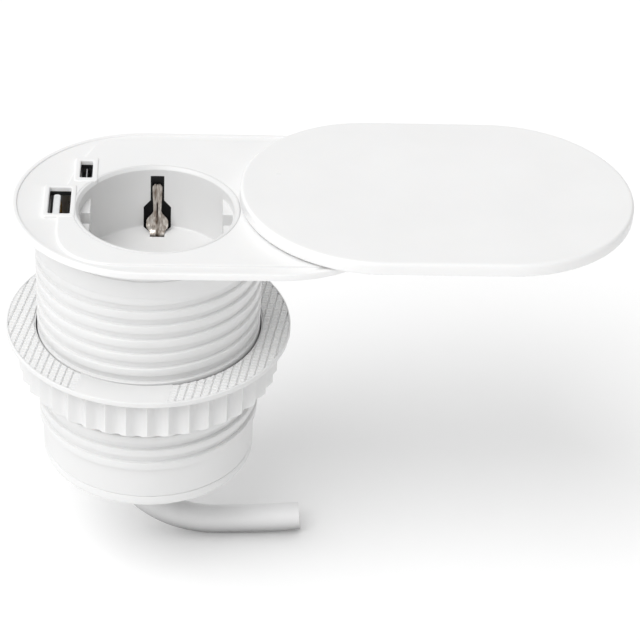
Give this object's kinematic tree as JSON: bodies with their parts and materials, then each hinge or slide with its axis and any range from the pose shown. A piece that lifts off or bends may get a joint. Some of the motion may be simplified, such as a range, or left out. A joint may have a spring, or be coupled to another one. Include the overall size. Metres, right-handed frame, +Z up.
{
  "type": "desk power outlet",
  "caption": "Through-desk power outlet with an earthed socket and USB ports in a threaded tube, a swivelling cover and a clamping nut.",
  "frame": {"origin": "on the tube's axis, in the plane of the socket's floor where a plug's face rests, 15.9 mm below the desktop's upper surface", "axes": "+Z up out of the desk along the tube's axis, +X towards the opened cover, +Y away from the user"},
  "size_m": [0.1638, 0.076, 0.1153],
  "materials": {
    "plate_gloss_white": "smooth moulded white, slight gloss",
    "housing_white": "satin moulded white",
    "soft_white": "soft white, fine matt",
    "inner_black": "moulded black",
    "nylon": "natural nylon",
    "port_black": "moulded dark grey",
    "nickel": "nickel-plated spring strip",
    "brass": "pressed brass",
    "steel": "bright zinc or stainless",
    "circuit_board": "green solder mask",
    "component_dark": "printed-free sleeve",
    "transformer_tape": "wound and taped core",
    "wire_brown": "brown insulation",
    "wire_blue": "blue insulation",
    "wire_earth": "green and yellow insulation",
    "wire_red": "red insulation",
    "wire_black": "black insulation"
  },
  "bodies": {
    "outlet": {"top_plate": "plate_gloss_white", "housing": "housing_white", "bottom_cap": "housing_white", "socket_insert": "housing_white", "cable_grommet": "soft_white", "cable_sheath": "soft_white", "contact_carrier": "inner_black", "cord_clamp": "inner_black", "cover_glide_washer": "nylon", "usb_a_tongue": "nylon", "usb_c_tongue": "port_black", "earth_contact": "nickel", "live_contact": "brass", "neutral_contact": "brass", "usb_a_shell": "steel", "usb_c_shell": "steel", "cover_spring_washer": "steel", "cap_screw_1": "steel", "cap_screw_2": "steel", "charger_board_screw_1": "steel", "charger_board_screw_2": "steel", "port_board_screw_1": "steel", "port_board_screw_2": "steel", "carrier_screw_1": "steel", "carrier_screw_2": "steel", "cord_clamp_screw_1": "steel", "cord_clamp_screw_2": "steel", "live_terminal_screw": "steel", "neutral_terminal_screw": "steel", "earth_terminal_screw": "steel", "usb_port_board": "circuit_board", "charger_board": "circuit_board", "input_capacitor": "component_dark", "output_capacitor": "component_dark", "fuse": "component_dark", "transformer": "transformer_tape", "live_core": "wire_brown", "charger_live_lead": "wire_brown", "neutral_core": "wire_blue", "charger_neutral_lead": "wire_blue", "earth_core": "wire_earth", "usb_positive_lead": "wire_red", "usb_negative_lead": "wire_black"},
    "cover": {"cover": "plate_gloss_white", "cover_pivot_pin": "steel", "cover_retaining_ring": "steel"},
    "clamp_ring": {"clamp_ring": "housing_white"},
    "lock_nut": {"lock_nut": "housing_white"},
    "shutter": {"shutter": "nylon"}
  },
  "joints": [
    {"name": "cover_swivel", "type": "hinge", "parent": "outlet", "child": "cover", "pos_m": [0.04512, 0, 0.018], "axis": [0, 0, 1], "range_deg": [0, 180]},
    {"name": "clamp_ring_slide", "type": "slide", "parent": "outlet", "child": "clamp_ring", "axis": [0, 0, 1], "range_m": [-0.014, 0.0254]},
    {"name": "lock_nut_turn", "type": "hinge", "parent": "clamp_ring", "child": "lock_nut", "pos_m": [0, 0, -0.0213], "axis": [0, 0, 1], "range_deg": [-1140, 2070]},
    {"name": "shutter_turn", "type": "hinge", "parent": "outlet", "child": "shutter", "pos_m": [0.0019, -0.0041, -0.0022], "axis": [0, 0, 1], "range_deg": [0, 35]}
  ],
  "couplings": [
    {"joint": "clamp_ring_slide", "follows": "lock_nut_turn", "m_per_rad": 0.00070028}
  ]
}
